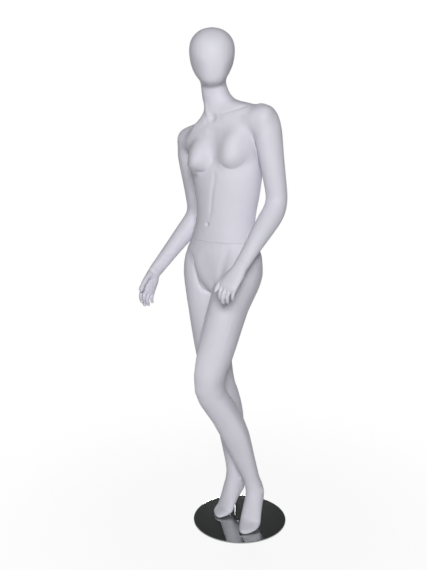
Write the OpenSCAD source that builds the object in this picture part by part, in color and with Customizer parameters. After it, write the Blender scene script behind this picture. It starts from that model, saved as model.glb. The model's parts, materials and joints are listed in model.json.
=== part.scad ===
// Full body display mannequin.
// A moulded figure that comes apart at the waist, the left hip, the shoulders and the wrists.
// It stands on a round steel base, held by a rod that enters its right heel.

/* [Base] */
// Diameter of the round steel plate
base_diameter = 352; // [330:1:400]
// Thickness of the steel plate
base_thickness = 5; // [4:0.5:8]
// Thickness of the pad glued under the plate
pad_thickness = 1.5; // [1:0.5:3]

/* [Foot rod] */
// Diameter of the chromed rod
rod_diameter = 10; // [8:0.5:11]
// Length of the rod above the plate
rod_length = 150; // [120:1:155]

/* [Figure] */
// Width of the faceless head
head_width = 154; // [144:1:164]
// How far the bust stands out from the ribs
bust_depth = 46; // [30:1:52]
// Thickness of the longest finger at its root
finger_thickness = 16.5; // [14:0.5:17]

/* [Seams and fittings] */
// Gap between two mouldings that meet
seam_gap = 0.6; // [0.4:0.1:1]
// Radial clearance of a stud in its bore
running_clearance = 0.05; // [0.02:0.01:0.08]
// Thickness of the steel fitting plates
plate_thickness = 3; // [2.5:0.5:4]

/* [Hidden] */

// Colours of the moulding, the bright fittings, the base and the pad
skin_colour = [0.84, 0.84, 0.87];
zinc_colour = [0.72, 0.73, 0.75];
chrome_colour = [0.82, 0.83, 0.85];
plate_colour = [0.45, 0.47, 0.47];
pad_colour = [0.12, 0.12, 0.13];

// The figure's own axis, seen from the centre of the base, and the height it was drawn at
stand_height = pad_thickness + base_thickness;
drawn_stand_height = 6.5;
figure_at = [-67, -18, stand_height - drawn_stand_height];

// Joints of the pose. Front is -Y and the figure's left is +X
hip_left = [89, -2, 975];
knee_left = [3, -126, 575];
calf_left = [63, -41, 400];
ankle_left = [111, 55, 137];
ball_left = [137, -7, 23];
toe_left = [157, -53, 11];
hip_right = [-99, -4, 955];
knee_right = [-52, 28, 562];
calf_right = [-22, 55, 400];
ankle_right = [8, 66, 135];
ball_right = [0, 14, 23];
toe_right = [-6, -32, 11];
shoulder_left = [171, 6, 1503];
elbow_left = [194, 54, 1214];
wrist_left = [179, -123, 1034];
shoulder_right = [-151, -10, 1418];
elbow_right = [-209, 101, 1138];
wrist_right = [-277, -64, 943];
knee_side_left = [0.97, 0.24, 0];
foot_side_left = [0.92, 0.39, 0];
knee_side_right = [1, 0, 0];
foot_side_right = [0.99, -0.14, 0];
thumb_left = [-0.97, -0.12, 0.20];
fingers_left = [-0.14, -0.62, -0.77];
thumb_right = [-0.33, -0.83, 0.44];
fingers_right = [-0.03, -0.46, -0.89];
head_turn = 40;
head_at = [-14, -49, 0];

// Seam planes: a point on each, and the way it faces
waist_at = [0, -3, 1085];
waist_faces = [0, 0, 1];
hip_seam_at = [80, -5, 966];
hip_seam_slope = 49;
hip_faces = [sin(hip_seam_slope), 0, -cos(hip_seam_slope)];
chest_at = [8, 0, 1455];
chest_turn = 10;
chest_roll = 15;
shoulder_seam_out = 134;
shoulder_seam_lift = 4;

// Facets around and along each form, with rings closer together at the bust and the neck
trunk_heights = [each [1050:20:1290], each [1300:10:1480], each [1492:12:1648]];
pelvis_rings = 13;
pelvis_sides = 28;
head_rings = 18;
head_sides = 22;
leg_rings = 43;
leg_sides = 18;
arm_rings = 25;
arm_sides = 16;
palm_rings = 9;
palm_sides = 12;
finger_rings = 7;
finger_sides = 7;
front_sides = 22;
back_sides = 12;
pocket_sides = 16;
pilot_sides = 6;
cross_hole_sides = 12;
base_facets = 128;
round_facets = 64;
screw_facets = 32;
edge_step = 15;
joint_softness = 0.16;

// Where the limbs' lines run on to, inside the trunk and the forearm, and the place of the calf point
hip_lead = [0.8, 300];
shoulder_lead = [150, 260];
forearm_share = 0.4;
calf_place = 1.4;

// Blocks that cut a form along a seam: the whole figure, or the limb beside it
block = 2400;
cut_block = 300;

// Trunk stations: height, centre x and y, left, right, front, back, turn, roll, shoulder droop
trunk_stations = [
  [1050, 0, -4, 136, 136, 92, 90, 0, 0, 0],
  [1085, 1, -3, 126, 126, 89, 84, 0, 0, 0],
  [1130, 4, 0, 119, 115, 86, 76, 0, 0, 0],
  [1175, 7, 3, 119, 112, 85, 72, 1, 2, 0],
  [1240, 10, 5, 126, 117, 90, 80, 4, 5, 0],
  [1310, 10, 5, 133, 127, 93, 90, 7, 9, 0],
  [1370, 8, 3, 133, 126, 92, 96, 10, 12, 1],
  [1410, 7, 1, 140, 130, 88, 97, 10, 14, 4],
  [1440, 6, -1, 164, 152, 82, 95, 10, 16, 10],
  [1470, 4, -4, 182, 172, 73, 90, 10, 18, 18],
  [1500, 1, -7, 180, 170, 63, 80, 10, 20, 28],
  [1522, -3, -11, 156, 126, 55, 69, 12, 21, 34],
  [1540, -8, -15, 107, 72, 50, 60, 16, 22, 24],
  [1556, -11, -20, 65, 49, 47, 52, 20, 19, 11],
  [1575, -14, -26, 51, 47, 45, 48, 25, 11, 3],
  [1605, -17, -34, 44, 44, 44, 46, 30, 5, 0],
  [1650, -18, -43, 43, 43, 44, 46, 40, 0, 0]];

// Pelvis stations: height, centre x and y, half width, front, back
pelvis_stations = [
  [872, 4, -16, 14, 14, 16],
  [885, 3, -14, 34, 30, 36],
  [910, 2, -12, 70, 52, 56],
  [940, 1, -10, 116, 68, 72],
  [970, 0, -8, 148, 79, 88],
  [1005, 0, -6, 158, 87, 98],
  [1040, 0, -5, 151, 91, 96],
  [1085, 1, -3, 126, 89, 84],
  [1120, 3, -1, 118, 87, 78]];

// Head stations: height, how far forward, half width as drawn, front, back
head_stations = [
  [1609, 40, 6, 6, 8],
  [1613, 38, 24, 20, 30],
  [1622, 34, 40, 37, 50],
  [1640, 27, 56, 53, 66],
  [1665, 17, 67, 68, 80],
  [1695, 8, 74, 81, 90],
  [1728, 0, 77, 88, 92],
  [1758, -4, 71, 81, 84],
  [1781, -8, 54, 62, 64],
  [1795, -10, 30, 36, 38],
  [1800, -10, 6, 7, 8]];
drawn_head_width = 154;

// Leg stations: place (0 hip, 1 knee, 2 ankle, 3 ball, 4 toe), front, back, outer, inner
leg_stations = [
  [-0.42, 16, 20, 12, 14],
  [-0.36, 52, 60, 36, 40],
  [-0.26, 73, 80, 52, 52],
  [-0.12, 80, 92, 66, 62],
  [0.02, 81, 102, 72, 74],
  [0.14, 80, 98, 66, 77],
  [0.27, 79, 86, 61, 76],
  [0.45, 76, 78, 65, 70],
  [0.70, 67, 73, 71, 59],
  [0.90, 62, 65, 68, 54],
  [1.00, 62, 60, 62, 53],
  [1.10, 54, 59, 55, 49],
  [1.28, 39, 70, 56, 47],
  [1.50, 34, 67, 55, 46],
  [1.75, 31, 48, 39, 36],
  [1.92, 29, 36, 30, 29],
  [2.05, 32, 45, 33, 31],
  [2.20, 33, 58, 37, 31],
  [2.45, 29, 40, 37, 33],
  [2.75, 23, 22, 38, 37],
  [3.00, 18, 18, 40, 39],
  [3.50, 12, 8, 36, 34],
  [3.85, 8, 6, 25, 22],
  [4.00, 3, 3, 8, 8]];

// Arm stations: place (0 shoulder, 1 elbow, 2 wrist), front, back, outer, inner
arm_stations = [
  [-0.19, 10, 10, 10, 10],
  [-0.14, 32, 32, 29, 28],
  [-0.05, 46, 48, 41, 38],
  [0.06, 50, 52, 45, 40],
  [0.20, 49, 51, 45, 38],
  [0.40, 45, 46, 42, 36],
  [0.60, 40, 42, 40, 36],
  [0.85, 36, 38, 38, 35],
  [1.00, 36, 40, 37, 35],
  [1.15, 40, 40, 38, 37],
  [1.35, 38, 38, 36, 35],
  [1.70, 29, 28, 30, 29],
  [1.92, 21, 21, 27, 27],
  [2.12, 19, 19, 27, 27]];

// Shoulder girdle stations: place (0 beside the neck, 1 shoulder), above, below, back, front
yoke_stations = [
  [0.00, 10, 10, 14, 14],
  [0.12, 32, 40, 42, 38],
  [0.45, 42, 50, 52, 47],
  [0.75, 46, 52, 54, 50],
  [1.00, 47, 52, 52, 49],
  [1.20, 40, 44, 46, 44],
  [1.34, 20, 24, 26, 24]];
yoke_rings = 10;
yoke_in = 104;
yoke_rise = 14;
yoke_side = [0, 1, 0];

// Palm stations: place (0 wrist, 1 knuckles), back of the hand, palm, little finger side, thumb side
palm_stations = [
  [-0.25, 20, 20, 27, 27],
  [0.00, 18, 18, 26, 25],
  [0.30, 16, 18, 30, 31],
  [0.65, 13, 16, 35, 31],
  [0.95, 11, 12, 37, 32],
  [1.08, 6, 7, 31, 27],
  [1.12, 2, 2, 12, 12]];
palm_length = 80;
// How far the forearm's line runs on past the wrist seam
wrist_run = 16;

// Fingers: root across and along the palm, length, thickness beside the longest, spread
fingers = [
  [24, 70, 67, 0.96, -3],
  [8, 74, 73, 1.00, -1],
  [-9, 72, 68, 0.95, 1],
  [-25, 66, 55, 0.84, 3]];
finger_bones = [0.46, 0.31, 0.23];
finger_curl_left = [16, 40, 24];
finger_curl_right = [14, 34, 20];
// Thumbs: points on their lines in the palm's own frame, and their half thickness at each
thumb_line_left = [[14, -6, 4], [31, -8, 36], [39, -6, 74], [39, -7, 107]];
thumb_line_right = [[14, -8, 4], [30, -16, 35], [38, -24, 61], [38, -30, 86]];
thumb_stations = [
  [0.00, 13, 13, 13, 13],
  [1.00, 12, 12, 11, 11],
  [2.00, 8.5, 9, 9, 9],
  [2.80, 7, 7.5, 8, 8],
  [3.00, 2, 2, 3, 3]];
finger_profile = [
  [0.00, 1.00],
  [1.00, 0.95],
  [2.00, 0.87],
  [2.80, 0.70],
  [3.00, 0.24]];

// Bust: places either side of the chest's midline, and reach of each side, up and down
bust_out = 78;
bust_height = 1374;
bust_reach = [64, 92, 52];
bust_fullness = 1.25;

// Fittings: plate radius, stud radius, cross bar length, bar height, screw circle, screws, shank radius
waist_fit = [46, 11, 46, 9, 36, 4, 2.5];
hip_fit = [42, 10, 40, 8, 32, 3, 2.5];
shoulder_fit = [30, 8, 28, 6, 23, 3, 2];
wrist_fit = [14, 4, 12, 3.5, 10.5, 2, 1.25];
bar_play = 1.2;
bar_width_share = 0.8;
recess_play = 0.3;
screw_length_share = 6;
screw_head_share = 1.9;
pilot_play = 0.6;
screw_play = 0.1;
screw_turn = 45;
stud_root_share = 0.8;

function plate_r(fit) = fit[0];
function stud_r(fit) = fit[1];
function bar_length(fit) = fit[2];
function bar_height(fit) = fit[3];
function screw_circle(fit) = fit[4];
function screw_count(fit) = fit[5];
function shank_r(fit) = fit[6];
function bar_width(fit) = 2 * stud_r(fit) * bar_width_share;

// Foot rod and its socket in the right heel
rod_at = [10, 62];
socket_wall = 4;
socket_foot = 66;
socket_top = 176;
socket_play = 0.4;
set_screw_height = 128;
set_screw_radius = 3;
set_screw_length = 12;
set_screw_reach = 80;
set_screw_tip = 0.3;
hexagon = 6;
rod_screw_radius = 3;
rod_screw_length = 22;
rod_screw_head = 6;
rod_chamfer = 2;
plate_edge_radius = 2;
pad_inset = 4;

// Helpers on vectors and stations
function unit(v) = v / norm(v);
function clamp(x, low, high) = max(low, min(high, x));
function mix(a, b, t) = a + (b - a) * t;
function mirror_girth(stations) = [for (g = stations) [g[0], g[1], g[2], g[4], g[3]]];
function grown(stations, d) = [for (g = stations) [g[0], g[1] + d, g[2] + d, g[3] + d, g[4] + d]];

// Place on a polyline, with its corners rounded by averaging five neighbours
function line_at(path, s) = [for (axis = [0:2]) lookup(s, [for (p = path) [p[0], p[1][axis]]])];
function path_at(path, s, soft) =
  let (spots = [for (k = [-2:2]) line_at(path, s + k * soft / 2)])
  (spots[0] + spots[1] + spots[2] + spots[3] + spots[4]) / 5;

// Smooth curve through stations whose first entry is their place
function last_of(list) = list[len(list) - 1];
function span_of(t, s, i = 0) = (i >= len(t) - 2 || s < t[i + 1][0]) ? i : span_of(t, s, i + 1);
function slope_at(t, i) =
  let (a = max(i - 1, 0), b = min(i + 1, len(t) - 1))
  (t[b] - t[a]) / (t[b][0] - t[a][0]);
function station_at(t, s) =
  let (i = span_of(t, s),
       h = t[i + 1][0] - t[i][0],
       u = (s - t[i][0]) / h,
       rise = 3 * u * u - 2 * u * u * u)
  t[i] * (1 - rise) + t[i + 1] * rise
  + slope_at(t, i) * h * u * (1 - u) * (1 - u)
  - slope_at(t, i + 1) * h * u * u * (1 - u);

// Point of an oval with its own reach on each of its four sides
oval_power = 2.15;
function oval(a, left, right, front, back) =
  let (k = pow(pow(abs(cos(a)), oval_power) + pow(abs(sin(a)), oval_power), -1 / oval_power))
  [k * cos(a) * (cos(a) > 0 ? left : right), k * sin(a) * (sin(a) > 0 ? front : back)];

// Angles around the trunk, closest together down the middle of the front
front_crowding = 12;
body_angles = concat(
  [for (i = [0:back_sides - 1]) 180 * i / back_sides],
  [for (i = [0:front_sides - 1])
    180 + 180 * i / front_sides + front_crowding * sin(360 * i / front_sides)]);

// Closed skin over rings that run anticlockwise seen from the last ring.
// Each four-sided patch is split along its shorter diagonal
module skin(rings) {
  n = len(rings[0]);
  m = len(rings);
  points = [for (r = rings) each r];
  walls = [for (j = [0:m - 2], i = [0:n - 1])
    let (a = j * n + i,
         b = j * n + (i + 1) % n,
         c = b + n,
         d = a + n)
    each norm(points[a] - points[c]) < norm(points[b] - points[d]) ?
      [[a, c, b], [a, d, c]] : [[a, d, b], [b, d, c]]];
  ends = [[for (i = [0:n - 1]) i], [for (i = [n - 1:-1:0]) (m - 1) * n + i]];
  polyhedron(points, concat(walls, ends), convexity = 6);
}

// Limb along a path, with its side turning from side_a before place 1 to side_b after place 2
module limb(path, stations, side_a, side_b, rings, sides) {
  first = stations[0][0];
  step = (last_of(stations)[0] - first) / rings;
  nudge = 0.02;
  skin([for (j = [0:rings])
    let (s = first + step * j,
         at = path_at(path, s, joint_softness),
         along = unit(path_at(path, s + nudge, joint_softness) - path_at(path, s - nudge, joint_softness)),
         front = unit(cross(along, mix(side_a, side_b, clamp(s - 1, 0, 1)))),
         side = cross(front, along),
         g = station_at(stations, s))
    [for (i = [0:sides - 1])
      let (o = oval(360 * i / sides, g[3], g[4], g[1], g[2]))
      at + side * o[0] + front * o[1]]]);
}

// How far the bust lifts the skin at a place across and up the chest
function bust_lift(across, height, hand) =
  let (up = height - bust_height,
       a = (across - hand * bust_out) / bust_reach[0],
       b = up / (up > 0 ? bust_reach[1] : bust_reach[2]),
       d = a * a + b * b)
  d < 1 ? bust_depth * pow(1 - d, bust_fullness) : 0;

module trunk_form()
  skin([for (z = trunk_heights)
    let (g = station_at(trunk_stations, z),
         side = [cos(g[7]) * cos(g[8]), sin(g[7]) * cos(g[8]), sin(g[8])],
         front = [sin(g[7]), -cos(g[7]), 0])
    [for (a = body_angles)
      let (o = oval(-a, g[3], g[4], g[5], g[6]),
           w = o[0] / g[3],
           lift = o[1] > 0 ? bust_lift(o[0], g[0], 1) + bust_lift(o[0], g[0], -1) : 0)
      [g[1], g[2], g[0] - g[9] * w * w] + side * o[0] + front * (o[1] + lift)]]);

// Shoulder girdle: from beside the neck out to the arm
module yoke_form(hand)
  limb([[-1, yoke_root(hand) - (shoulder_of(hand) - yoke_root(hand))], [0, yoke_root(hand)],
        [1, shoulder_of(hand)], [2, 2 * shoulder_of(hand) - yoke_root(hand)]],
       yoke_stations, yoke_side, yoke_side, yoke_rings, arm_sides);

module pelvis_form() {
  low = pelvis_stations[0][0];
  step = (last_of(pelvis_stations)[0] - low) / pelvis_rings;
  skin([for (j = [0:pelvis_rings])
    let (g = station_at(pelvis_stations, low + step * j))
    [for (i = [0:pelvis_sides - 1])
      let (o = oval(-360 * i / pelvis_sides, g[3], g[3], g[4], g[5]))
      [g[1] + o[0], g[2] - o[1], g[0]]]]);
}

module head_form() {
  low = head_stations[0][0];
  high = last_of(head_stations)[0];
  broad = head_width / drawn_head_width;
  translate(head_at)
    rotate(head_turn)
      skin([for (j = [0:head_rings])
        let (g = station_at(head_stations, mix(low, high, (1 - cos(180 * j / head_rings)) / 2)))
        [for (i = [0:head_sides - 1])
          let (o = oval(-360 * i / head_sides, g[2] * broad, g[2] * broad, g[3], g[4]))
          [o[0], -g[1] - o[1], g[0]]]]);
}

// Paths run on past both ends, so that the first and last rings stand square to them
function leg_path(hip, knee, calf, ankle, ball, toe) = [
  [-1, [hip[0] * hip_lead[0], hip[1], hip[2] + hip_lead[1]]], [0, hip], [1, knee], [calf_place, calf],
  [2, ankle], [3, ball], [4, toe], [5, 2 * toe - ball]];
function arm_path(shoulder, elbow, wrist, hand) = [
  [-1, shoulder + [-hand * shoulder_lead[0], 0, shoulder_lead[1]]], [0, shoulder], [1, elbow],
  [2, wrist], [3, 2 * wrist - elbow]];
function shoulder_of(hand) = hand > 0 ? shoulder_left : shoulder_right;
function yoke_root(hand) = shoulder_of(hand) - hand * yoke_in * chest_side + [0, 0, yoke_rise];
function elbow_side(shoulder, elbow, wrist) =
  let (n = unit(cross(elbow - shoulder, wrist - elbow)))
  n[0] > 0 ? n : -n;

module left_leg_form()
  limb(leg_path(hip_left, knee_left, calf_left, ankle_left, ball_left, toe_left),
       leg_stations, knee_side_left, foot_side_left, leg_rings, leg_sides);

module right_leg_form(grow = 0)
  limb(leg_path(hip_right, knee_right, calf_right, ankle_right, ball_right, toe_right),
       mirror_girth(grown(leg_stations, grow)), knee_side_right, foot_side_right, leg_rings, leg_sides);

module left_arm_form()
  limb(arm_path(shoulder_left, elbow_left, wrist_left, 1), arm_stations,
       elbow_side(shoulder_left, elbow_left, wrist_left), -thumb_left, arm_rings, arm_sides);

module right_arm_form()
  limb(arm_path(shoulder_right, elbow_right, wrist_right, -1), mirror_girth(arm_stations),
       elbow_side(shoulder_right, elbow_right, wrist_right), -thumb_right, arm_rings, arm_sides);

module arm_form(hand)
  if (hand > 0) left_arm_form();
  else right_arm_form();

// Hand built in its own frame: across to the thumb, out of its back, along the fingers
module hand_form(elbow, wrist, thumb, along, hand, curl, thumb_line) {
  back = hand * cross(along, thumb);
  heel = wrist + unit(wrist - elbow) * wrist_run;
  spot = function (p) heel + thumb * p[0] + back * p[1] + along * p[2];
  flank = hand * thumb;
  palm_path = [[-1, mix(heel, elbow, forearm_share)], [0, heel], [1, spot([0, 0, palm_length])],
               [2, spot([0, 0, 2 * palm_length])]];
  limb(palm_path, hand > 0 ? palm_stations : mirror_girth(palm_stations), flank, flank,
       palm_rings, palm_sides);
  for (f = fingers) finger(f, spot, flank, curl);
  thumb_path = concat([for (i = [0:3]) [i, spot(thumb_line[i])]],
                      [[4, spot(2 * thumb_line[3] - thumb_line[2])]]);
  limb(thumb_path, thumb_stations, flank, flank, finger_rings, finger_sides);
}

// One finger: three bones, each bent further towards the palm
module finger(f, spot, flank, curl) {
  bend = [curl[0], curl[0] + curl[1], curl[0] + curl[1] + curl[2]];
  bone = [for (i = [0:2])
    f[2] * finger_bones[i] * [sin(f[4]), -sin(bend[i]), cos(bend[i])]];
  root = [f[0], 0, f[1]];
  line = [root, root + bone[0], root + bone[0] + bone[1], root + bone[0] + bone[1] + bone[2]];
  r = finger_thickness * f[3] / 2;
  path = concat([[-1, spot(root - bone[0])]], [for (i = [0:3]) [i, spot(line[i])]],
                [[4, spot(line[3] + bone[2])]]);
  limb(path, [for (p = finger_profile) [p[0], r * p[1], r * p[1], r * p[1], r * p[1]]],
       flank, flank, finger_rings, finger_sides);
}

module left_hand_form()
  hand_form(elbow_left, wrist_left, unit(thumb_left), unit(fingers_left), -1, finger_curl_left,
            thumb_line_left);

module right_hand_form()
  hand_form(elbow_right, wrist_right, unit(thumb_right), unit(fingers_right), 1, finger_curl_right,
            thumb_line_right);

// Places of the shoulder seams, and the ways the shoulder and wrist seams face
chest_side = [cos(chest_turn) * cos(chest_roll), sin(chest_turn) * cos(chest_roll), sin(chest_roll)];
function shoulder_faces(hand) =
  let (out = hand * cos(shoulder_seam_lift))
  [out * cos(chest_turn), out * sin(chest_turn), sin(shoulder_seam_lift)];
function shoulder_seam_at(hand) = chest_at + hand * shoulder_seam_out * chest_side;
wrist_faces_left = unit(wrist_left - elbow_left);
wrist_faces_right = unit(wrist_right - elbow_right);

// Stands a shape drawn along +Z on a seam, facing the way the seam faces
module on_seam(at, faces)
  translate(at)
    rotate([0, acos(faces[2]), atan2(faces[1], faces[0])])
      children();

// The space on one side of a seam and in its gap: side 1 is the one it faces
module beyond(at, faces, side, size = block)
  on_seam(at, faces)
    translate([-size / 2, -size / 2, side > 0 ? -seam_gap / 2 : seam_gap / 2 - size])
      cube(size);

// One closed moulding from forms that overlap
module moulding() color(skin_colour) resize([0, 0, 0]) children();

// Stud side of a seam: recess for the stud plate and pilot holes for its screws
module stud_pocket(fit) {
  translate([0, 0, -seam_gap / 2])
    room(plate_r(fit) + recess_play, seam_gap + plate_thickness);
  pilot_holes(fit);
}

// A facetted round room that leaves a given radius free
module room(r, h) cylinder(r = r / cos(180 / pocket_sides), h = h, $fn = pocket_sides);

// Socket side of a seam: the plate's recess, pilot holes and room for the cross bar to turn
module socket_pocket(fit)
  mirror([0, 0, 1]) {
    stud_pocket(fit);
    room(bar_sweep(fit) + bar_play, bar_end(fit) + bar_play);
  }

module pilot_holes(fit)
  at_screws(fit)
    cylinder(r = shank_r(fit) + pilot_play, h = seam_gap / 2 + screw_length(shank_r(fit)) + pilot_play,
             $fn = pilot_sides);

module at_screws(fit)
  for (i = [0:screw_count(fit) - 1])
    rotate(360 * i / screw_count(fit) + screw_turn)
      translate([screw_circle(fit), 0, 0])
        children();

// Depths of a cross bar's two sides below its seam, and the radius that its corners sweep
function bar_top(fit) = seam_gap / 2 + plate_thickness + bar_play;
function bar_end(fit) = bar_top(fit) + bar_height(fit);
function bar_sweep(fit) = norm([bar_length(fit), bar_width(fit)]) / 2;
function screw_length(shank) = screw_length_share * shank;

module screw_profile(shank, grow = 0)
  rotate_extrude($fn = screw_facets)
    polygon([[0, 0], [screw_head_share * shank + grow, 0], [shank + grow, (screw_head_share - 1) * shank],
             [shank + grow, screw_length(shank)], [0, screw_length(shank)]]);

// Screws of a plate, heads flush with its seam face
module screws(fit, grow = 0)
  color(zinc_colour)
    translate([0, 0, seam_gap / 2])
      at_screws(fit)
        screw_profile(shank_r(fit), grow);

module plate_disc(fit)
  translate([0, 0, seam_gap / 2])
    cylinder(r = plate_r(fit), h = plate_thickness, $fn = round_facets);

module stud_plate(fit)
  color(zinc_colour)
    difference() {
      plate_disc(fit);
      translate([0, 0, -plate_thickness])
        cylinder(r = stud_r(fit) * stud_root_share, h = 3 * plate_thickness, $fn = round_facets);
      screws(fit, screw_play);
    }

module socket_plate(fit)
  color(zinc_colour)
    mirror([0, 0, 1])
      difference() {
        plate_disc(fit);
        translate([0, 0, -plate_thickness])
          cylinder(r = stud_r(fit) + running_clearance, h = 3 * plate_thickness, $fn = round_facets);
        cube([bar_length(fit) + bar_play, bar_width(fit) + bar_play, 3 * plate_thickness], center = true);
        screws(fit, screw_play);
      }

// Stud with a stepped root riveted in its plate and a cross bar behind the socket plate
module stud(fit)
  color(zinc_colour) {
    translate([0, 0, seam_gap / 2])
      cylinder(r = stud_r(fit) * stud_root_share, h = plate_thickness, $fn = round_facets);
    translate([0, 0, -bar_end(fit)])
      cylinder(r = stud_r(fit), h = bar_end(fit) + seam_gap / 2, $fn = round_facets);
    translate([0, 0, -(bar_top(fit) + bar_end(fit)) / 2])
      cube([bar_width(fit), bar_length(fit), bar_height(fit)], center = true);
  }

module socket_screws(fit) mirror([0, 0, 1]) screws(fit);

// Places of the six seams
module at_waist() translate(figure_at) on_seam(waist_at, waist_faces) children();
module at_hip() translate(figure_at) on_seam(hip_seam_at, hip_faces) children();
module at_shoulder(hand)
  translate(figure_at)
    on_seam(shoulder_seam_at(hand), shoulder_faces(hand))
      children();
module at_left_wrist() translate(figure_at) on_seam(wrist_left, wrist_faces_left) children();
module at_right_wrist() translate(figure_at) on_seam(wrist_right, wrist_faces_right) children();

// Base
module base_plate()
  color(plate_colour)
    difference() {
      translate([0, 0, pad_thickness])
        rotate_extrude($fn = base_facets)
          polygon(concat(
            [[0, 0], [base_diameter / 2, 0]],
            [for (a = [0:edge_step:90])
              [base_diameter / 2, base_thickness] + plate_edge_radius * [cos(a) - 1, sin(a) - 1]],
            [[0, base_thickness]]));
      at_rod(pad_thickness) rod_screw_profile(screw_play);
    }

// On the rod's axis, at a height above the floor
module at_rod(height)
  translate([figure_at[0] + rod_at[0], figure_at[1] + rod_at[1], height])
    children();

module base_pad()
  color(pad_colour)
    cylinder(r = base_diameter / 2 - pad_inset, h = pad_thickness, $fn = base_facets);

module rod_screw_profile(grow = 0)
  rotate_extrude($fn = screw_facets)
    polygon([[0, 0], [rod_screw_head + grow, 0], [rod_screw_radius + grow, rod_screw_head - rod_screw_radius],
             [rod_screw_radius + grow, rod_screw_length], [0, rod_screw_length]]);

module rod_screw()
  color(zinc_colour)
    at_rod(pad_thickness) rod_screw_profile();

module foot_rod()
  color(chrome_colour)
    at_rod(stand_height)
      difference() {
        rotate_extrude($fn = round_facets)
          polygon([[0, 0], [rod_diameter / 2, 0], [rod_diameter / 2, rod_length - rod_chamfer],
                   [rod_diameter / 2 - rod_chamfer, rod_length], [0, rod_length]]);
        translate([0, 0, -base_thickness])
          cylinder(r = rod_screw_radius + running_clearance, h = rod_screw_length + rod_chamfer,
                   $fn = screw_facets);
      }

// Lower body: pelvis and right leg in one moulding
socket_radius = rod_diameter / 2 + socket_wall;
module lower_body_shell()
  moulding()
    difference() {
      translate(figure_at) {
        difference() {
          union() {
            pelvis_form();
            left_leg_form();
          }
          beyond(hip_seam_at, hip_faces, 1);
          beyond(waist_at, waist_faces, 1);
        }
        right_leg_form();
      }
      at_waist() mirror([0, 0, 1]) stud_pocket(waist_fit);
      at_hip() socket_pocket(hip_fit);
      foot_socket_room();
    }

module foot_socket_room()
  at_rod(figure_at[2]) {
    room(socket_radius + socket_play, socket_top);
    translate([0, 0, set_screw_height])
      rotate([0, -90, 0])
        cylinder(r = set_screw_radius + socket_play, h = set_screw_reach, $fn = cross_hole_sides);
  }

module foot_socket()
  color(zinc_colour)
    at_rod(figure_at[2])
      difference() {
        translate([0, 0, socket_foot])
          cylinder(r = socket_radius, h = socket_top - socket_foot, $fn = round_facets);
        cylinder(r = rod_diameter / 2 + running_clearance, h = socket_top - socket_wall, $fn = round_facets);
        translate([0, 0, set_screw_height])
          rotate([0, -90, 0])
            cylinder(r = set_screw_radius, h = 2 * socket_radius, $fn = screw_facets);
      }

// Grub screw with a hexagon recess, its tip just short of the rod
module foot_set_screw()
  color(zinc_colour)
    at_rod(figure_at[2] + set_screw_height)
      rotate([0, -90, 0])
        translate([0, 0, rod_diameter / 2 + set_screw_tip])
          difference() {
            cylinder(r = set_screw_radius - running_clearance, h = set_screw_length, $fn = screw_facets);
            translate([0, 0, set_screw_length - set_screw_radius])
              cylinder(r = set_screw_radius / 2, h = set_screw_length, $fn = hexagon);
          }

module waist_stud_plate() at_waist() mirror([0, 0, 1]) stud_plate(waist_fit);
module waist_stud() at_waist() mirror([0, 0, 1]) stud(waist_fit);
module waist_stud_screws() at_waist() mirror([0, 0, 1]) screws(waist_fit);
module hip_socket_plate() at_hip() socket_plate(hip_fit);
module hip_socket_screws() at_hip() socket_screws(hip_fit);

// Left leg
module left_leg_shell()
  moulding()
    difference() {
      translate(figure_at)
        difference() {
          union() {
            pelvis_form();
            left_leg_form();
          }
          beyond(hip_seam_at, hip_faces, -1);
          right_leg_form(seam_gap);
          translate([-block, -block / 2, 0]) cube(block);
        }
      at_hip() stud_pocket(hip_fit);
    }

module hip_stud_plate() at_hip() stud_plate(hip_fit);
module hip_stud() at_hip() stud(hip_fit);
module hip_stud_screws() at_hip() screws(hip_fit);

// Torso: trunk, neck and faceless head in one moulding
module torso_shell()
  moulding()
    difference() {
      translate(figure_at)
        difference() {
          union() {
            trunk_form();
            head_form();
            for (hand = [1, -1]) {
              yoke_form(hand);
              intersection() {
                arm_form(hand);
                beyond(shoulder_seam_at(hand), shoulder_faces(hand), -1, cut_block);
              }
            }
          }
          beyond(waist_at, waist_faces, -1);
          for (hand = [1, -1])
            beyond(shoulder_seam_at(hand), shoulder_faces(hand), 1, cut_block);
        }
      at_waist() mirror([0, 0, 1]) socket_pocket(waist_fit);
      for (hand = [1, -1])
        at_shoulder(hand) socket_pocket(shoulder_fit);
    }

module waist_socket_plate() at_waist() mirror([0, 0, 1]) socket_plate(waist_fit);
module waist_socket_screws() at_waist() mirror([0, 0, 1]) socket_screws(waist_fit);

// Arms
module arm_shell(hand)
  moulding()
    difference() {
      translate(figure_at) {
        difference() {
          union() {
            arm_form(hand);
            yoke_form(hand);
            intersection() {
              trunk_form();
              beyond(shoulder_seam_at(hand), shoulder_faces(hand), 1, cut_block);
            }
          }
          beyond(shoulder_seam_at(hand), shoulder_faces(hand), -1, cut_block);
          if (hand > 0) beyond(wrist_left, wrist_faces_left, 1, cut_block);
          else beyond(wrist_right, wrist_faces_right, 1, cut_block);
        }
      }
      at_shoulder(hand) stud_pocket(shoulder_fit);
      if (hand > 0) at_left_wrist() socket_pocket(wrist_fit);
      else at_right_wrist() socket_pocket(wrist_fit);
    }

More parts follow.
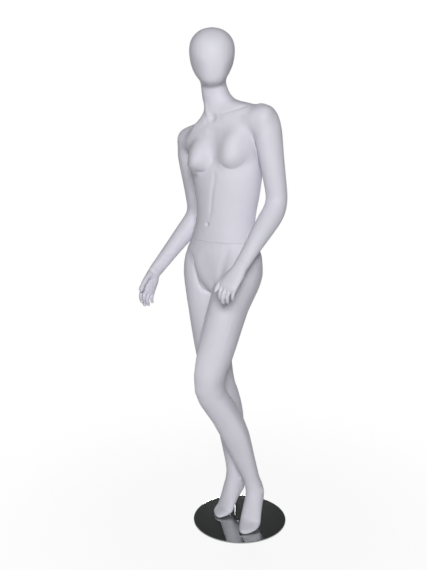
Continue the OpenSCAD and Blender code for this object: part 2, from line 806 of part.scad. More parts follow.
module left_arm_shell() arm_shell(1);
module right_arm_shell() arm_shell(-1);
module left_shoulder_socket_plate() at_shoulder(1) socket_plate(shoulder_fit);
module left_shoulder_socket_screws() at_shoulder(1) socket_screws(shoulder_fit);
module left_shoulder_stud_plate() at_shoulder(1) stud_plate(shoulder_fit);
module left_shoulder_stud() at_shoulder(1) stud(shoulder_fit);
module left_shoulder_stud_screws() at_shoulder(1) screws(shoulder_fit);
module right_shoulder_socket_plate() at_shoulder(-1) socket_plate(shoulder_fit);
module right_shoulder_socket_screws() at_shoulder(-1) socket_screws(shoulder_fit);
module right_shoulder_stud_plate() at_shoulder(-1) stud_plate(shoulder_fit);
module right_shoulder_stud() at_shoulder(-1) stud(shoulder_fit);
module right_shoulder_stud_screws() at_shoulder(-1) screws(shoulder_fit);

// Hands
module left_hand_shell()
  moulding()
    difference() {
      translate(figure_at)
        difference() {
          left_hand_form();
          beyond(wrist_left, wrist_faces_left, -1, cut_block);
        }
      at_left_wrist() stud_pocket(wrist_fit);
    }

module right_hand_shell()
  moulding()
    difference() {
      translate(figure_at)
        difference() {
          right_hand_form();
          beyond(wrist_right, wrist_faces_right, -1, cut_block);
        }
      at_right_wrist() stud_pocket(wrist_fit);
    }

module left_wrist_socket_plate() at_left_wrist() socket_plate(wrist_fit);
module left_wrist_socket_screws() at_left_wrist() socket_screws(wrist_fit);
module left_wrist_stud_plate() at_left_wrist() stud_plate(wrist_fit);
module left_wrist_stud() at_left_wrist() stud(wrist_fit);
module left_wrist_stud_screws() at_left_wrist() screws(wrist_fit);
module right_wrist_socket_plate() at_right_wrist() socket_plate(wrist_fit);
module right_wrist_socket_screws() at_right_wrist() socket_screws(wrist_fit);
module right_wrist_stud_plate() at_right_wrist() stud_plate(wrist_fit);
module right_wrist_stud() at_right_wrist() stud(wrist_fit);
module right_wrist_stud_screws() at_right_wrist() screws(wrist_fit);

base_plate();
base_pad();
foot_rod();
rod_screw();
lower_body_shell();
foot_socket();
foot_set_screw();
waist_stud_plate();
waist_stud();
waist_stud_screws();
hip_socket_plate();
hip_socket_screws();
left_leg_shell();
hip_stud_plate();
hip_stud();
hip_stud_screws();
torso_shell();
waist_socket_plate();
waist_socket_screws();
left_shoulder_socket_plate();
left_shoulder_socket_screws();
right_shoulder_socket_plate();
right_shoulder_socket_screws();
left_arm_shell();
left_shoulder_stud_plate();
left_shoulder_stud();
left_shoulder_stud_screws();
left_wrist_socket_plate();
left_wrist_socket_screws();
right_arm_shell();
right_shoulder_stud_plate();
right_shoulder_stud();
right_shoulder_stud_screws();
right_wrist_socket_plate();
right_wrist_socket_screws();
left_hand_shell();
left_wrist_stud_plate();
left_wrist_stud();
left_wrist_stud_screws();
right_hand_shell();
right_wrist_stud_plate();
right_wrist_stud();
right_wrist_stud_screws();
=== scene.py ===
"""Looks of a full body display mannequin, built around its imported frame. Lengths are in metres."""

import json
import math

import bmesh
import bpy
import numpy as np
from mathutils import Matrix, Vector

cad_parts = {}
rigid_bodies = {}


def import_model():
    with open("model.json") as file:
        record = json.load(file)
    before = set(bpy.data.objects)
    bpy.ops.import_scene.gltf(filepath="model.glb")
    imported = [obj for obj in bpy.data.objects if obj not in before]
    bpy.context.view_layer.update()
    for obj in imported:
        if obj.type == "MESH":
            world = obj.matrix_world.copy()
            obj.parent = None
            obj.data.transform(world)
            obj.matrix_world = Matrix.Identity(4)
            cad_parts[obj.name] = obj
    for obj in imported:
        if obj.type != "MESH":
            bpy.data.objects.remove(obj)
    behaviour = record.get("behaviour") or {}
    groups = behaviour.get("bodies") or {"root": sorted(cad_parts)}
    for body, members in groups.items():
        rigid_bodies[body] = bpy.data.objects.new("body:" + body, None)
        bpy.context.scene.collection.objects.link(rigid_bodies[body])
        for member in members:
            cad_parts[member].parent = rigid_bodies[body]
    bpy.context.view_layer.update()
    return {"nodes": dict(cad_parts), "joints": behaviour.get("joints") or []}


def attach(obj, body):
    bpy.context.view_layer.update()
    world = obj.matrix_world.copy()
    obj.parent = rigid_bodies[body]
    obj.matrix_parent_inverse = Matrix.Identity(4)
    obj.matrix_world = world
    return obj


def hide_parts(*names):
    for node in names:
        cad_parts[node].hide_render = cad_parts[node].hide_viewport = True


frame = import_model()
nodes = frame["nodes"]

# Camera, as the photograph was taken: its lens, where it stands and how it looks
IMAGE_HEIGHT = 570
FOCAL_PIXELS = 780
CAMERA_AZIMUTH = 40.0
CAMERA_PITCH = 13.0
CAMERA_ACROSS = -0.100
CAMERA_DISTANCE = 2.715
CAMERA_HEIGHT = 1.548
SENSOR = 36.0

# Moulded skin: mesh size of the body and of the hands, and how far bumps are smoothed
BODY_VOXEL = 0.003
HAND_VOXEL = 0.0011
BODY_SOFTNESS = 0.010
FOOT_SOFTNESS = 0.007
HAND_SOFTNESS = 0.006
FINGER_SOFTNESS = 0.0025
# Where the fingers start, from the wrist, and the feet, from the floor, and over what length they blend in
KNUCKLES = 0.075
FINGER_FADE = 0.020
FOOT_TOP = 0.080
FOOT_FADE = 0.120
# Share of the way to its neighbours' mean that a point goes in each round of smoothing
SMOOTH_STEP = 0.5
# Edges that turn more than this stay sharp, points closer than this are joined, and drums have so many sides
SHARP_ANGLE = math.radians(60)
WELD = 1e-6
DRUM_SIDES = 64

# Seams: the gap between two mouldings, how closely a point has to lie on the cut, how far the mouldings
# overlap while they are shaped, and how far from its middle a seam may reach
SEAM_GAP = 0.0006
SEAM_TOLERANCE = 0.00006
SEAM_OVERLAP = 0.002
SEAM_LIMIT = 0.22
# A slab of the neighbour is shaped along with a moulding, and a larger block cuts it off again
SLAB = 0.045
BLOCK_MARGIN = 0.015
# Radius and depth of the well for the fittings at each seam
WELLS = {
    "waist_turn": (0.0465, 0.022),
    "hip_turn": (0.0425, 0.022),
    "left_shoulder_turn": (0.0305, 0.018),
    "right_shoulder_turn": (0.0305, 0.018),
    "left_wrist_turn": (0.0145, 0.012),
    "right_wrist_turn": (0.0145, 0.012),
}
BODIES = ["torso", "lower_body", "left_leg", "left_arm", "right_arm", "left_hand", "right_hand"]

# Ways across the figure: to its right, and from each arm into the torso
TO_RIGHT = Vector((-1, 0, 0))
FROM_LEFT_ARM = Vector((-0.982, -0.173, -0.070))
FROM_RIGHT_ARM = Vector((0.9824, 0.1732, -0.0698))
# Holes drilled in a moulding: where the drum starts, the way it runs, its radius and length
HOLES = {
    "lower_body": [
        (Vector((-0.057, 0.044, 0.0)), Vector((0, 0, 1)), 0.0094, 0.176),
        (Vector((-0.057, 0.044, 0.128)), TO_RIGHT, 0.0034, 0.080),
    ],
}
# How far a hole's wall may lie off its drum in the shell
HOLE_MARGIN = 0.0006
# Two places where a moulding reaches past its seam: the right thigh, which ends at the midline between the
# legs, and a strip on the inside of the right arm, whose drum starts a little before the cut
MIDLINE = -0.067
STRIP = Vector((-0.206, 0.032, 1.3255)) - FROM_RIGHT_ARM * SEAM_OVERLAP
STRIP_RADIUS = 0.062
STRIP_LENGTH = 0.012
# Room that mouldings leave for a limb's swing, with the same values as holes
ROOM = {
    "torso": [
        (Vector((0.0778, -0.0142, 1.4049)), FROM_LEFT_ARM, 0.030, 0.0035),
        (STRIP, FROM_RIGHT_ARM, STRIP_RADIUS, STRIP_LENGTH),
    ],
    "left_leg": [(Vector((MIDLINE, 0.0, 0.850)), TO_RIGHT, 0.120, 0.100)],
}
# What a moulding keeps on the far side of a seam, with the same values as holes
KEEPS = {
    ("lower_body", "hip_turn"): (Vector((MIDLINE - SEAM_GAP, 0.0, 0.820)), TO_RIGHT, 0.160, 0.120),
    ("right_arm", "right_shoulder_turn"):
        (STRIP, FROM_RIGHT_ARM, STRIP_RADIUS - SEAM_GAP, STRIP_LENGTH - SEAM_GAP),
}

# Places that are rounded more than the rest: where, how far it reaches and how soft
LEFT_SHOULDER = ((0.068, 0.005, 1.490), 0.095, 0.020)
RIGHT_SHOULDER = ((-0.186, -0.040, 1.420), 0.095, 0.020)
SEAT = ((-0.066, 0.062, 0.960), 0.170, 0.018)
SOFT_SPOTS = {
    "torso": [
        LEFT_SHOULDER,
        RIGHT_SHOULDER,
        # Jaw and top of the neck
        ((-0.060, -0.050, 1.622), 0.110, 0.016),
        # Left breast
        ((0.020, -0.110, 1.415), 0.105, 0.022),
    ],
    "left_arm": [LEFT_SHOULDER],
    "right_arm": [RIGHT_SHOULDER],
    "lower_body": [SEAT],
    "left_leg": [SEAT],
    "right_hand": [((-0.338, -0.116, 0.934), 0.040, 0.008)],
}

# Lines are drawn across and up, on a side that faces the front or the back
ACROSS_AND_UP = (0, 2)
SIDES = {"front": (0, -1, 0), "back": (0, 1, 0)}
# Forms of a line's cross-section: the power of the distance from its middle
CREASE = 1.0
HOLLOW = 2.0
# Lines pressed into the skin, or raised where the depth is negative: side, form, width, depth and points
RIGHT_GROIN = ("front", CREASE, 0.014, 0.0060,
               [(-0.142, 1.040), (-0.140, 1.013), (-0.137, 0.980), (-0.132, 0.950), (-0.125, 0.924),
                (-0.113, 0.904), (-0.095, 0.892), (-0.066, 0.886)])
RIGHT_MOUND = ("front", HOLLOW, 0.046, -0.0040,
               [(-0.118, 1.050), (-0.112, 1.005), (-0.106, 0.968), (-0.094, 0.938), (-0.076, 0.918),
                (-0.050, 0.910)])
LEFT_MOUND = ("front", HOLLOW, 0.036, -0.0020,
              [(0.046, 1.075), (0.038, 1.050), (0.028, 1.020), (0.019, 0.985), (0.010, 0.950),
               (0.008, 0.910)])
LEFT_GROIN = ("front", HOLLOW, 0.020, 0.0030,
              [(0.018, 1.080), (0.012, 1.057), (0.002, 1.022), (-0.008, 0.985), (-0.017, 0.949),
               (-0.016, 0.915)])
LINES = {
    "torso": [
        # Left collar bone and the hollow above it, and right collar bone
        ("front", CREASE, 0.009, 0.0032,
         [(-0.030, 1.522), (-0.004, 1.526), (0.020, 1.534), (0.052, 1.548)]),
        ("front", HOLLOW, 0.018, -0.0026,
         [(-0.036, 1.506), (0.000, 1.512), (0.030, 1.522), (0.066, 1.536)]),
        ("front", HOLLOW, 0.018, -0.0026,
         [(-0.084, 1.494), (-0.110, 1.488), (-0.140, 1.480), (-0.166, 1.466)]),
        # Cord of the neck
        ("front", HOLLOW, 0.011, -0.0025,
         [(-0.100, 1.560), (-0.092, 1.532), (-0.080, 1.506)]),
        # Between the breasts, and the belly's midline
        ("front", HOLLOW, 0.032, 0.0035,
         [(-0.054, 1.480), (-0.052, 1.440), (-0.048, 1.395), (-0.042, 1.330)]),
        ("front", CREASE, 0.016, 0.0030,
         [(-0.040, 1.340), (-0.040, 1.300), (-0.050, 1.258), (-0.057, 1.211), (-0.066, 1.160)]),
        # Under the left and right breast
        ("front", CREASE, 0.016, 0.0030,
         [(0.074, 1.430), (0.071, 1.392), (0.059, 1.361), (0.038, 1.341), (0.014, 1.338), (-0.007, 1.349),
          (-0.027, 1.372)]),
        ("front", CREASE, 0.014, 0.0035,
         [(-0.116, 1.328), (-0.096, 1.321), (-0.068, 1.333), (-0.050, 1.360), (-0.046, 1.385)]),
        # Spine
        ("back", HOLLOW, 0.038, 0.0042,
         [(-0.064, 1.500), (-0.062, 1.400), (-0.058, 1.280), (-0.062, 1.160), (-0.066, 1.060)]),
    ],
    "lower_body": [
        RIGHT_MOUND,
        RIGHT_GROIN,
        LEFT_MOUND,
        LEFT_GROIN,
        # Between the buttocks
        ("back", CREASE, 0.028, 0.0150,
         [(-0.066, 1.015), (-0.066, 0.980), (-0.066, 0.940), (-0.064, 0.875)]),
    ],
    "left_leg": [LEFT_MOUND, LEFT_GROIN],
}
# Bumps, or hollows where the height is negative: centre, reach and height
SHOULDER_FILL = ((0.066, 0.005, 1.540), 0.036, 0.003)
BUMPS = {
    "torso": [
        # Under the jaw
        ((-0.088, -0.140, 1.655), 0.060, -0.008),
        ((0.000, -0.055, 1.652), 0.055, -0.006),
        # Notch below the neck
        ((-0.063, -0.086, 1.506), 0.020, -0.006),
        SHOULDER_FILL,
        # Navel
        ((-0.074, -0.102, 1.144), 0.011, -0.006),
        # Shoulder blades
        ((0.020, 0.070, 1.420), 0.075, 0.006),
        ((-0.140, 0.060, 1.390), 0.075, 0.006),
    ],
    "left_arm": [SHOULDER_FILL],
    "lower_body": [
        # Right hip, knee and ankle
        ((-0.220, -0.050, 0.960), 0.140, -0.006),
        ((-0.119, -0.050, 0.566), 0.055, 0.004),
        ((-0.028, 0.045, 0.142), 0.018, 0.004),
        ((-0.092, 0.052, 0.132), 0.018, 0.004),
    ],
    "left_leg": [
        # Left knee and ankle
        ((-0.009, -0.174, 0.605), 0.055, 0.004),
        ((0.079, 0.038, 0.133), 0.018, 0.004),
        ((0.010, 0.030, 0.142), 0.018, 0.004),
    ],
}
# Places drawn towards a direction: centre, reach and move
RIGHT_BUTTOCK = ((-0.112, 0.060, 0.962), 0.105, (0.0, 0.027, 0.0))
LEFT_BUTTOCK = ((-0.014, 0.062, 0.955), 0.088, (0.0, 0.018, 0.0))
LEFT_BREAST = ((0.034, -0.125, 1.395), 0.075, (0.0, 0.008, 0.0))
RIGHT_TOES = ((-0.058, -0.046, 0.012), 0.040, (0.004, -0.010, 0.0))
LEFT_TOES = ((0.070, -0.066, 0.014), 0.045, (0.008, -0.020, 0.0))
PULLS = {
    "torso": [LEFT_BREAST],
    "lower_body": [RIGHT_BUTTOCK, LEFT_BUTTOCK, RIGHT_TOES],
    "left_leg": [LEFT_BUTTOCK, LEFT_TOES],
}
# Steps between two points of a line, and the share of the line that fades at each end
LINE_STEPS = 6
LINE_TAPER = 0.2
# How squarely the skin has to face a line's side to take its full depth
FACING = 0.35
# Faces of a block, by the numbers of its corners
BLOCK_FACES = [(0, 1, 3, 2), (4, 6, 7, 5), (0, 4, 5, 1), (1, 5, 7, 3), (3, 7, 6, 2), (2, 6, 4, 0)]


def read(items, name, width, kind=np.float32):
    """One attribute of every item of a mesh, as rows of numbers."""
    values = np.zeros(len(items) * width, kind)
    items.foreach_get(name, values)
    return values.reshape(-1, width)


def ease(x):
    """Smooth step from 0 to 1."""
    x = np.clip(x, 0.0, 1.0)
    return x * x * (3.0 - 2.0 * x)


class Seam:
    """A flat cut through the figure, which a joint turns in."""

    def __init__(self, joint):
        self.name = joint["name"]
        self.bodies = (joint["parent"], joint["child"])
        self.at = Vector(joint["pos_m"])
        self.way = Vector(joint["axis"]).normalized()
        self.across = self.way.orthogonal().normalized()
        self.well_radius, self.well_depth = WELLS[self.name]
        self.side = {}
        self.reach = 0.0
        for body in self.bodies:
            points = read(nodes[body + "_shell"].data.vertices, "co", 3)
            height = self.heights(points)
            off = np.linalg.norm(points - np.array(self.at), axis=1)
            on_cut = (np.abs(np.abs(height) - SEAM_GAP / 2) < SEAM_TOLERANCE) & (off < SEAM_LIMIT)
            self.side[body] = 1 if height[on_cut].mean() > 0 else -1
            self.reach = max(self.reach, off[on_cut].max())

    def heights(self, points):
        """How far points stand above the cut."""
        return (points - np.array(self.at)) @ np.array(self.way)

    def other(self, body):
        return self.bodies[1 - self.bodies.index(body)]

    def block(self, body, depth, gap, half):
        """Corners of a block on the far side of the cut from a body."""
        up = self.way.cross(self.across)
        out = self.way * -self.side[body]
        low = self.at + out * gap
        return [low + out * d + self.across * a + up * b
                for d in (0.0, depth) for a in (-half, half) for b in (-half, half)]


seams = [Seam(j) for j in frame["joints"] if j["name"] in WELLS]


def seams_of(body):
    return [seam for seam in seams if body in seam.bodies]


def closed_shell(body):
    """A body's shell, pushed across its seams so that it overlaps its neighbours."""
    mesh = nodes[body + "_shell"].data
    points = read(mesh.vertices, "co", 3).astype(float)
    for seam in seams_of(body):
        height = seam.heights(points)
        near = np.linalg.norm(points - np.array(seam.at), axis=1) < seam.reach + SEAM_GAP
        on_cut = near & (np.abs(height) < SEAM_GAP)
        points[on_cut] -= seam.side[body] * SEAM_OVERLAP * np.array(seam.way)
    bm = bmesh.new()
    spots = [bm.verts.new(p) for p in points]
    for polygon in mesh.polygons:
        bm.faces.new([spots[i] for i in polygon.vertices])
    bmesh.ops.remove_doubles(bm, verts=bm.verts, dist=WELD)
    fill_holes(bm, HOLES.get(body, []))
    return bm


def fill_holes(bm, holes):
    """Closes drilled holes flush with the skin around them."""
    walls = set()
    for at, way, radius, length in holes:
        bore = set()
        for vert in bm.verts:
            along = (vert.co - at).dot(way)
            aside = (vert.co - at - way * along).length
            if aside < radius + HOLE_MARGIN and -HOLE_MARGIN < along < length + HOLE_MARGIN:
                bore.add(vert)
        walls.update(face for face in bm.faces if bore.issuperset(face.verts))
    bmesh.ops.delete(bm, geom=list(walls), context="FACES")
    bmesh.ops.holes_fill(bm, edges=[e for e in bm.edges if e.is_boundary])


def slab(body, seam):
    """The part of a neighbour that lies close to a seam."""
    bm = closed_shell(seam.other(body))
    corners = seam.block(body, SLAB, -2 * SEAM_OVERLAP, seam.reach)
    middle = sum(corners, Vector()) / len(corners)
    for face in BLOCK_FACES:
        a, b, c = (corners[i] for i in face[:3])
        out = (b - a).cross(c - a)
        if out.dot(a - middle) < 0:
            out.negate()
        bmesh.ops.bisect_plane(bm, geom=[*bm.verts, *bm.edges, *bm.faces], plane_co=a, plane_no=out,
                               clear_outer=True)
        bmesh.ops.holes_fill(bm, edges=[e for e in bm.edges if e.is_boundary])
    return bm


def placed(name, data):
    """A new object in the scene."""
    made = bpy.data.objects.new(name, data)
    bpy.context.scene.collection.objects.link(made)
    return made


def solid(name, points, faces):
    """An object made of points and faces."""
    mesh = bpy.data.meshes.new(name)
    mesh.from_pydata(points, [], faces)
    return placed(name, mesh)


def drum(at, way, radius, length):
    """A closed cylinder that starts at a point and runs along a direction."""
    way = way.normalized()
    across = way.orthogonal().normalized()
    up = way.cross(across)
    turns = [2 * math.pi * i / DRUM_SIDES for i in range(DRUM_SIDES)]
    rim = [at + (across * math.cos(t) + up * math.sin(t)) * radius for t in turns]
    points = rim + [p + way * length for p in rim]
    low = range(DRUM_SIDES)
    high = range(DRUM_SIDES, 2 * DRUM_SIDES)
    walls = [(low[i - 1], low[i], high[i], high[i - 1]) for i in range(DRUM_SIDES)]
    return solid("drum", points, [*walls, tuple(low)[::-1], tuple(high)])


def applied(made, kind, **settings):
    """Mesh of an object after one modifier."""
    modifier = made.modifiers.new("shape", kind)
    for name, value in settings.items():
        setattr(modifier, name, value)
    graph = bpy.context.evaluated_depsgraph_get()
    return bpy.data.meshes.new_from_object(made.evaluated_get(graph))


def remeshed(parts, voxel):
    """One even mesh over the outside of overlapping parts."""
    whole = bmesh.new()
    for part in parts:
        mesh = bpy.data.meshes.new("part")
        part.to_mesh(mesh)
        part.free()
        whole.from_mesh(mesh)
    mesh = bpy.data.meshes.new("whole")
    whole.to_mesh(mesh)
    whole.free()
    rough = placed("whole", mesh)
    even = applied(rough, "REMESH", mode="VOXEL", voxel_size=voxel)
    bpy.data.objects.remove(rough)
    return outside(even)


def island_numbers(ends, count):
    """For each point, the lowest number of a point that it hangs together with."""
    island = np.arange(count)
    a, b = ends.T
    while (island[a] != island[b]).any():
        low = np.minimum(island[a], island[b])
        np.minimum.at(island, island[a], low)
        np.minimum.at(island, island[b], low)
        island = island[island]
    return island


def outside(mesh):
    """The largest part of a mesh, without the closed hollows inside it."""
    points = read(mesh.vertices, "co", 3)
    ends = read(mesh.edges, "vertices", 2, np.int32)
    island = island_numbers(ends, len(points))
    names, sizes = np.unique(island, return_counts=True)
    biggest = names[sizes.argmax()]
    bm = bmesh.new()
    bm.from_mesh(mesh)
    bm.verts.ensure_lookup_table()
    spare = [bm.verts[i] for i in np.flatnonzero(island != biggest)]
    bmesh.ops.delete(bm, geom=spare, context="VERTS")
    bm.to_mesh(mesh)
    bm.free()
    return mesh


class Clay:
    """A mesh whose points are pushed about before its seams are cut."""

    def __init__(self, mesh, voxel):
        self.mesh = mesh
        self.voxel = voxel
        self.points = read(mesh.vertices, "co", 3)
        ends = read(mesh.edges, "vertices", 2, np.int32)
        both = np.concatenate([ends, ends[:, ::-1]])
        order = both[:, 0].argsort(kind="stable")
        self.near = both[order, 1]
        count = np.bincount(both[:, 0], minlength=len(self.points))
        self.starts = np.concatenate([[0], count.cumsum()[:-1]])
        self.count = count[:, None].astype(np.float32)

    def store(self):
        self.mesh.vertices.foreach_set("co", self.points.ravel())
        self.mesh.update()

    def normals(self):
        self.store()
        return read(self.mesh.vertex_normals, "vector", 3)

    def spread(self, values, rounds, share):
        """Lets values run into their neighbours, a share of the way each round."""
        for _ in range(rounds):
            mean = np.add.reduceat(values[self.near], self.starts) / self.count
            values = values + share * (mean - values)
        return values

    def smooth(self, softness, share=1.0):
        """Smooths bumps up to a length, and gives back the girth that this takes off."""
        # A round spreads a bump by half a mesh size, and the spread grows with the root of the rounds
        rounds = round((2.0 * softness / self.voxel) ** 2)
        share = np.broadcast_to(share, len(self.points))[:, None].astype(np.float32)
        step = np.float32(SMOOTH_STEP) * share
        flat = self.spread(self.points, rounds, step)
        self.points = flat + self.spread(self.points - flat, rounds, step)

    def soften(self, at, reach, softness):
        """Rounds a spot off more than the rest, fully within half its reach."""
        off = np.linalg.norm(self.points - np.array(at), axis=1)
        self.smooth(softness, ease(2.0 * (1.0 - off / reach)))

    def press(self, side, form, width, depth, line):
        """Draws a line on one side of the figure and presses it in."""
        off, place = line_distance(self.points[:, ACROSS_AND_UP], rounded(line))
        ends = ease(place / LINE_TAPER) * ease((1.0 - place) / LINE_TAPER)
        normals = self.normals()
        seen = ease(normals @ np.array(SIDES[side]) / FACING)
        profile = np.clip(1.0 - (off / width) ** form, 0.0, 1.0) ** 2
        push = depth * profile * ends * seen
        self.points -= normals * push[:, None].astype(np.float32)

    def nearness(self, at, reach):
        """A column of 1 at a spot, down to 0 where its reach ends."""
        off = np.linalg.norm(self.points - np.array(at), axis=1)
        return (np.clip(1.0 - (off / reach) ** 2, 0.0, 1.0) ** 2)[:, None].astype(np.float32)

    def lift(self, at, reach, height):
        """Raises a round bump."""
        self.points += self.normals() * np.float32(height) * self.nearness(at, reach)

    def pull(self, at, reach, move):
        """Draws a spot towards a direction."""
        self.points += np.array(move, np.float32) * self.nearness(at, reach)


def rounded(line):
    """A smooth curve through the points of a line."""
    points = np.array([line[0], *line, line[-1]])
    curve = []
    for a, b, c, d in zip(points, points[1:], points[2:], points[3:]):
        for u in np.arange(LINE_STEPS) / LINE_STEPS:
            bend = 2 * a - 5 * b + 4 * c - d + u * (3 * (b - c) + d - a)
            curve.append(b + 0.5 * u * (c - a + u * bend))
    return np.array([*curve, points[-1]])


def line_distance(points, line):
    """How far points lie from a line, and how far along it the nearest spots are, from 0 to 1."""
    nearest = np.full(len(points), np.inf)
    place = np.zeros(len(points))
    for i, (a, b) in enumerate(zip(line, line[1:])):
        along = np.clip((points - a) @ (b - a) / ((b - a) @ (b - a)), 0.0, 1.0)
        off = np.linalg.norm(points - a - along[:, None] * (b - a), axis=1)
        closer = off < nearest
        nearest[closer] = off[closer]
        place[closer] = (i + along[closer]) / (len(line) - 1)
    return nearest, place


def far_side(body, seam):
    """A solid over all that a body has on the far side of a seam, apart from what it keeps there."""
    corners = seam.block(body, SLAB + BLOCK_MARGIN, -SEAM_GAP / 2, seam.reach + BLOCK_MARGIN)
    block = solid("far_side", corners, BLOCK_FACES)
    if (body, seam.name) in KEEPS:
        carve(block, drum(*KEEPS[body, seam.name]))
    return block


def moulding(body, clay):
    """Cuts a body's clay at its seams, with wells for the fittings, and makes the piece."""
    clay.store()
    piece = placed(body + "_skin", clay.mesh)
    for seam in seams_of(body):
        inward = seam.way * seam.side[body]
        carve(piece, far_side(body, seam))
        carve(piece, drum(seam.at, inward, seam.well_radius, seam.well_depth))
    for row in HOLES.get(body, []) + ROOM.get(body, []):
        carve(piece, drum(*row))
    piece.data.polygons.foreach_set("use_smooth", np.ones(len(piece.data.polygons), bool))
    piece.data.set_sharp_from_angle(angle=SHARP_ANGLE)
    return piece


def carve(piece, cutter):
    """Takes a solid out of a piece, and removes the solid."""
    bm = bmesh.new()
    bm.from_mesh(cutter.data)
    bmesh.ops.recalc_face_normals(bm, faces=bm.faces)
    bm.to_mesh(cutter.data)
    bm.free()
    mesh = applied(piece, "BOOLEAN", operation="DIFFERENCE", solver="MANIFOLD", object=cutter)
    piece.modifiers.clear()
    piece.data = mesh
    bpy.data.objects.remove(cutter)


def smooth_hand(clay, wrist):
    """Smooths a hand, and its fingers less."""
    off = np.linalg.norm(clay.points - np.array(wrist.at), axis=1)
    finger_share = (FINGER_SOFTNESS / HAND_SOFTNESS) ** 2
    clay.smooth(HAND_SOFTNESS, 1.0 + (finger_share - 1.0) * ease((off - KNUCKLES) / FINGER_FADE))


def smooth_body(clay):
    """Smooths a body, and its foot less if it has one."""
    height = clay.points[:, 2]
    foot_share = (FOOT_SOFTNESS / BODY_SOFTNESS) ** 2
    clay.smooth(BODY_SOFTNESS, foot_share + (1.0 - foot_share) * ease((height - FOOT_TOP) / FOOT_FADE))


def sculpted(body):
    """The clay of a body, smoothed and worked over."""
    is_hand = body.endswith("hand")
    voxel = HAND_VOXEL if is_hand else BODY_VOXEL
    parts = [closed_shell(body)] + [slab(body, seam) for seam in seams_of(body)]
    clay = Clay(remeshed(parts, voxel), voxel)
    if is_hand:
        smooth_hand(clay, seams_of(body)[0])
    else:
        smooth_body(clay)
    for move in PULLS.get(body, []):
        clay.pull(*move)
    for spot in SOFT_SPOTS.get(body, []):
        clay.soften(*spot)
    for line in LINES.get(body, []):
        clay.press(*line)
    for bump in BUMPS.get(body, []):
        clay.lift(*bump)
    return clay


skins = {body: moulding(body, sculpted(body)) for body in BODIES}
for name, piece in skins.items():
    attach(piece, name)
    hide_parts(name + "_shell")

# Materials: the range that most of a noise keeps to, and how finely it is detailed
NOISE_RANGE = (0.3, 0.7)
PATCH_DETAIL = 3.0
GRAIN_DETAIL = 2.0
# Sockets of a Mix node that have colours
MIX_COLOURS = (6, 7)
MIX_RESULT = 2


def new_material(name, **settings):
    """A material whose shader has the given constant values."""
    material = bpy.data.materials.new(name)
    material.use_nodes = True
    shader = material.node_tree.nodes["Principled BSDF"]
    for socket, value in settings.items():
        shader.inputs[socket.replace("_", " ")].default_value = value
    return material


class Tree:
    """Makes and links the nodes of a material or the world."""

    def __init__(self, owner):
        self.nodes = owner.node_tree.nodes
        self.links = owner.node_tree.links

    def add(self, kind, inputs, **settings):
        """A new node: a value of inputs is a number, a colour or another node's socket."""
        node = self.nodes.new("ShaderNode" + kind)
        for name, value in settings.items():
            setattr(node, name, value)
        for name, value in inputs.items():
            if isinstance(value, bpy.types.NodeSocket):
                self.links.new(value, node.inputs[name])
            else:
                node.inputs[name].default_value = value
        return node

    def noise(self, place, scale, detail):
        node = self.add("TexNoise", {"Vector": place, "Scale": scale, "Detail": detail})
        return node.outputs["Fac"]

    def spread(self, value, low, high):
        """A value of noise, spread over a range."""
        return self.mapped(value, NOISE_RANGE, (low, high), "LINEAR")

    def mapped(self, value, before, after, form):
        """A value, taken from one range to another."""
        inputs = {
            "Value": value,
            "From Min": before[0],
            "From Max": before[1],
            "To Min": after[0],
            "To Max": after[1],
        }
        return self.add("MapRange", inputs, interpolation_type=form).outputs["Result"]

    def math(self, operation, a, b):
        return self.add("Math", {0: a, 1: b}, operation=operation).outputs["Value"]

    def tint(self, value, low, high):
        """A colour between two, as a value goes from 0 to 1."""
        node = self.add("Mix", {"Factor": value}, data_type="RGBA")
        for socket, colour in zip(MIX_COLOURS, (low, high)):
            node.inputs[socket].default_value = (*colour, 1)
        return node.outputs[MIX_RESULT]

    def bump(self, height, distance):
        return self.add("Bump", {"Height": height, "Distance": distance, "Strength": 1.0}).outputs["Normal"]


def detailed(name, tints, gloss, mottle, grain, bump, stretch=(1, 1, 1), turned=False, **settings):
    """A material with mottled colour, uneven gloss and a fine grain, in the object's own coordinates."""
    material = new_material(name, **settings)
    tree = Tree(material)
    place = tree.add("TexCoord", {}).outputs["Object"]
    if turned:
        from_middle = tree.add("VectorMath", {"Vector": place}, operation="LENGTH").outputs["Value"]
        place = tree.add("CombineXYZ", {"X": from_middle}).outputs["Vector"]
    stretched = tree.add("Mapping", {"Vector": place, "Scale": stretch}).outputs["Vector"]
    patches = tree.spread(tree.noise(place, mottle, PATCH_DETAIL), 0.0, 1.0)
    fine = tree.noise(stretched, grain, GRAIN_DETAIL)
    shader = tree.nodes["Principled BSDF"]
    tree.links.new(tree.tint(patches, *tints), shader.inputs["Base Color"])
    tree.links.new(tree.spread(fine, *gloss), shader.inputs["Roughness"])
    tree.links.new(tree.bump(fine, bump), shader.inputs["Normal"])
    return material


paint = detailed(
    "satin_paint",
    tints=((0.600, 0.592, 0.656), (0.632, 0.624, 0.688)),
    gloss=(0.40, 0.50),
    mottle=9.0,
    grain=700.0,
    bump=0.00006,
    Specular_IOR_Level=0.09,
)
steel = detailed(
    "polished_steel",
    tints=((0.41, 0.43, 0.42), (0.46, 0.475, 0.465)),
    gloss=(0.03, 0.07),
    mottle=14.0,
    grain=900.0,
    bump=0.000004,
    turned=True,
    Metallic=1.0,
)
chrome = detailed(
    "chrome",
    tints=((0.34, 0.345, 0.355), (0.40, 0.405, 0.415)),
    gloss=(0.05, 0.12),
    mottle=30.0,
    grain=500.0,
    bump=0.000006,
    stretch=(1, 1, 0.05),
    Metallic=1.0,
)
zinc = detailed(
    "zinc_plating",
    tints=((0.46, 0.47, 0.48), (0.60, 0.61, 0.63)),
    gloss=(0.28, 0.46),
    mottle=120.0,
    grain=1800.0,
    bump=0.00003,
    Metallic=1.0,
)
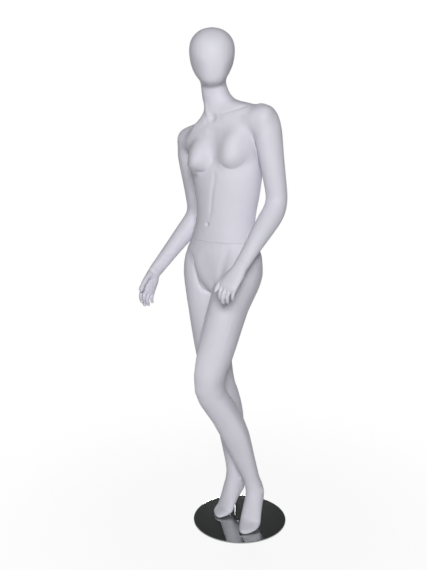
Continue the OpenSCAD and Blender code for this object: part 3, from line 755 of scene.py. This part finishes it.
rubber = detailed(
    "rubber",
    tints=((0.020, 0.020, 0.022), (0.034, 0.034, 0.036)),
    gloss=(0.70, 0.90),
    mottle=60.0,
    grain=1500.0,
    bump=0.0001,
)

NODE_FINISHES = {"base_plate": steel, "base_pad": rubber, "foot_rod": chrome}
for piece in skins.values():
    piece.data.materials.clear()
    piece.data.materials.append(paint)
for name, node in nodes.items():
    if not name.endswith("_shell"):
        for slot in node.material_slots:
            slot.material = NODE_FINISHES.get(name, zinc)

# Camera
turn = math.radians(CAMERA_AZIMUTH)
pitch = math.radians(CAMERA_PITCH)
right = Vector((math.cos(turn), math.sin(turn), 0))
ahead = Vector((-math.sin(turn), math.cos(turn), 0))
camera = placed("camera", bpy.data.cameras.new("camera"))
camera.data.sensor_width = SENSOR
camera.data.lens = FOCAL_PIXELS * SENSOR / IMAGE_HEIGHT
camera.location = right * CAMERA_ACROSS - ahead * CAMERA_DISTANCE + Vector((0, 0, CAMERA_HEIGHT))
gaze = ahead * math.cos(pitch) - Vector((0, 0, math.sin(pitch)))
camera.rotation_euler = gaze.to_track_quat("-Z", "Y").to_euler()
bpy.context.scene.camera = camera
bpy.context.scene.view_settings.view_transform = "Standard"

# Light: each lamp's azimuth and elevation from the figure's middle, distance, size and power
MIDDLE = Vector((0, 0, 1.0))
LAMPS = {
    "key_light": (38, 25, 6.5, 1.8, 374),
    "back_light": (220, 5, 4.5, 1.2, 150),
}


def lamp(name, azimuth, elevation, distance, size, power):
    """A square soft box that faces the figure's middle."""
    turn = math.radians(azimuth)
    rise = math.radians(elevation)
    made = placed(name, bpy.data.lights.new(name, "AREA"))
    made.data.energy = power
    made.data.size = size
    way = Vector((math.sin(turn) * math.cos(rise), -math.cos(turn) * math.cos(rise), math.sin(rise)))
    made.location = MIDDLE + way * distance
    made.rotation_euler = (-way).to_track_quat("-Z", "Y").to_euler()


for name, values in LAMPS.items():
    lamp(name, *values)

# Backdrop: white up to a height, dark above it, with plain grey light from all round
WHITE = (1, 1, 1, 1)
WORLD_LIGHT = 0.06
BACKDROP_DARK = 0.058
BACKDROP_TOP = (0.20, 0.34)
world = bpy.data.worlds.new("studio")
world.use_nodes = True
bpy.context.scene.world = world


def view_ray(tree):
    """1 for what the camera sees, straight or through a reflection, and 0 for light."""
    path = tree.add("LightPath", {}).outputs
    seen = tree.math("MAXIMUM", path["Is Camera Ray"], path["Is Glossy Ray"])
    return tree.math("MAXIMUM", seen, path["Is Transmission Ray"])


tree = Tree(world)
way = tree.add("TexCoord", {}).outputs["Generated"]
height = tree.add("SeparateXYZ", {"Vector": way}).outputs["Z"]
backdrop = tree.mapped(height, BACKDROP_TOP, (1.0, BACKDROP_DARK), "SMOOTHSTEP")
strength = tree.add("Mix", {"Factor": view_ray(tree), "A": WORLD_LIGHT, "B": backdrop}).outputs["Result"]
tree.links.new(strength, tree.nodes["Background"].inputs["Strength"])
tree.nodes["Background"].inputs["Color"].default_value = WHITE

# Floor: pale, and whiter away from the figure, with the figure's shadow on it
FLOOR_HALF = 8.0
FLOOR_COLOUR = (0.65, 0.65, 0.65, 1)
# How white it looks near the figure and far from it, and where that is
FLOOR_WHITE = (0.90, 1.0)
FLOOR_FADE = (0.25, 1.3)
corners = [(x * FLOOR_HALF, y * FLOOR_HALF, 0) for x, y in ((-1, -1), (1, -1), (1, 1), (-1, 1))]
floor = solid("floor", corners, [(0, 1, 2, 3)])
floor_material = bpy.data.materials.new("floor")
floor_material.use_nodes = True
tree = Tree(floor_material)
tree.nodes.remove(tree.nodes["Principled BSDF"])
place = tree.add("TexCoord", {}).outputs["Object"]
away = tree.add("VectorMath", {"Vector": place}, operation="LENGTH").outputs["Value"]
white = tree.mapped(away, FLOOR_FADE, FLOOR_WHITE, "SMOOTHSTEP")
share = tree.math("MULTIPLY", white, view_ray(tree))
matt = tree.add("BsdfDiffuse", {"Color": FLOOR_COLOUR}).outputs["BSDF"]
glow = tree.add("Emission", {"Color": WHITE, "Strength": 1.0}).outputs["Emission"]
mixed = tree.add("MixShader", {"Fac": share, 1: matt, 2: glow}).outputs["Shader"]
tree.links.new(mixed, tree.nodes["Material Output"].inputs["Surface"])
floor.data.materials.append(floor_material)
